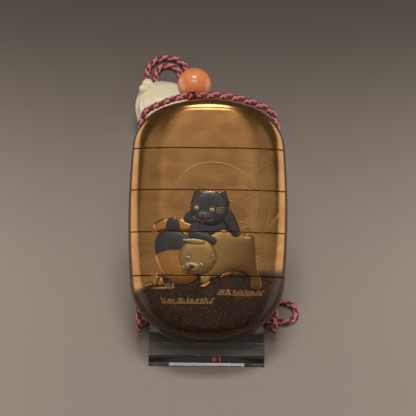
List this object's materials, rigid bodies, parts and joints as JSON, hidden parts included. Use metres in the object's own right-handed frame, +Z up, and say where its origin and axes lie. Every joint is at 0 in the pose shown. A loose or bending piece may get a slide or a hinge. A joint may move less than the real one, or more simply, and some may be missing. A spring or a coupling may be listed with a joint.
{
  "type": "inro case",
  "caption": "Tiered gold lacquer carrying case with a silk cord, sliding bead and carved toggle, leaning on a clear acrylic stand.",
  "frame": {"origin": "on the table, under the middle of the stand's front bar", "axes": "+X to the right across the case's front, +Y away from the viewer towards the toggle, +Z up; the case's front faces -Y and up"},
  "size_m": [0.0641, 0.1703, 0.0729],
  "materials": {
    "gold_lacquer": "polished gold lacquer over thin wood, darkening to brown at the foot, with raised picture",
    "coral": "polished orange coral",
    "ivory": "polished ivory-like, yellowed in the folds",
    "silk_cord": "braided silk, dark red with paler strands",
    "clear_acrylic": "clear polished acrylic"
  },
  "bodies": {
    "root": {"lid": "gold_lacquer", "case_1": "gold_lacquer", "case_2": "gold_lacquer", "case_3": "gold_lacquer", "case_4": "gold_lacquer", "ojime_bead": "coral", "netsuke": "ivory", "cord_left": "silk_cord", "cord_right": "silk_cord", "bow_loop_left": "silk_cord", "bow_loop_right": "silk_cord", "cord_knot": "silk_cord", "acrylic_stand": "clear_acrylic"}
  },
  "joints": []
}
